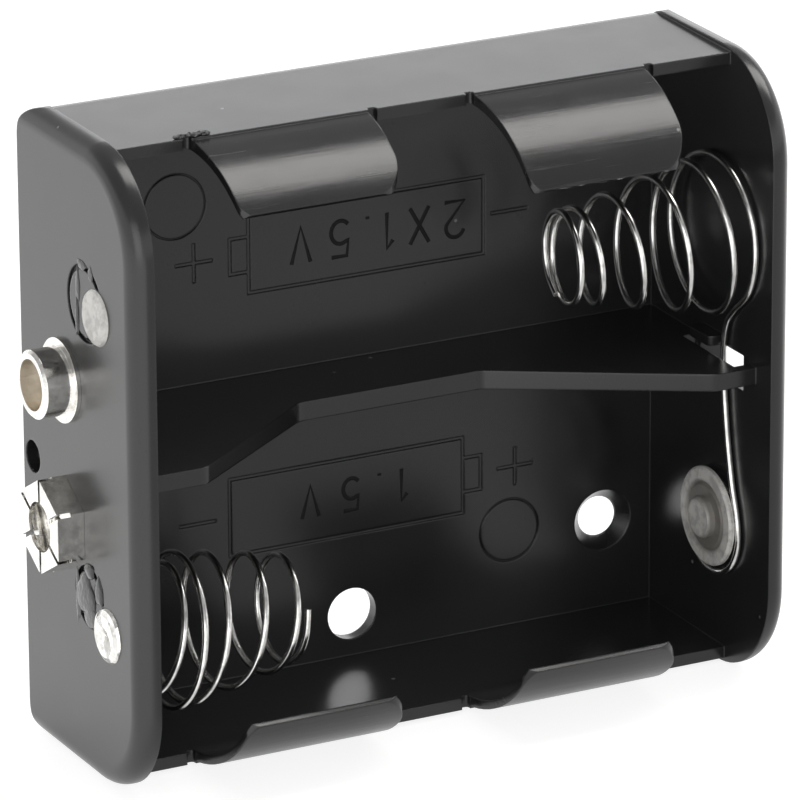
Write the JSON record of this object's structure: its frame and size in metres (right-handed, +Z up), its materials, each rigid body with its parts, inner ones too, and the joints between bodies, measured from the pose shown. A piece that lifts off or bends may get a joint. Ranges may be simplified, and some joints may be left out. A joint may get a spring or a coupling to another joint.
{
  "type": "two-bay cylindrical cell holder",
  "caption": "Open tray that holds cylindrical cells side by side between coil springs and button contacts, with curled clips and snap terminals on one end wall.",
  "frame": {"origin": "centre of the whole part's box in X and Y, bottom of the end walls in Z", "axes": "+X along the cells, away from the snap terminals; +Y from the open side toward the floor; +Z up across the bays"},
  "size_m": [0.0666, 0.0246, 0.0572],
  "materials": {
    "black_plastic": "moulded, satin to gloss, with light scuffs",
    "nickel_terminal": "nickel plated, bright",
    "nickel_rivet": "nickel plated, bright",
    "nickel_strip": "nickel plated sheet",
    "nickel_contact": "nickel plated, satin",
    "spring_wire": "nickel plated wire, bright"
  },
  "bodies": {
    "root": {"tray": "black_plastic", "male_snap_stud": "nickel_terminal", "female_snap_socket": "nickel_terminal", "male_snap_eyelet": "nickel_rivet", "female_snap_eyelet": "nickel_rivet", "positive_strip": "nickel_strip", "negative_strip": "nickel_strip", "left_button_contact": "nickel_contact", "right_button_contact": "nickel_contact", "spring_rivet": "nickel_rivet", "lower_spring": "spring_wire", "link_spring": "spring_wire"}
  },
  "joints": []
}
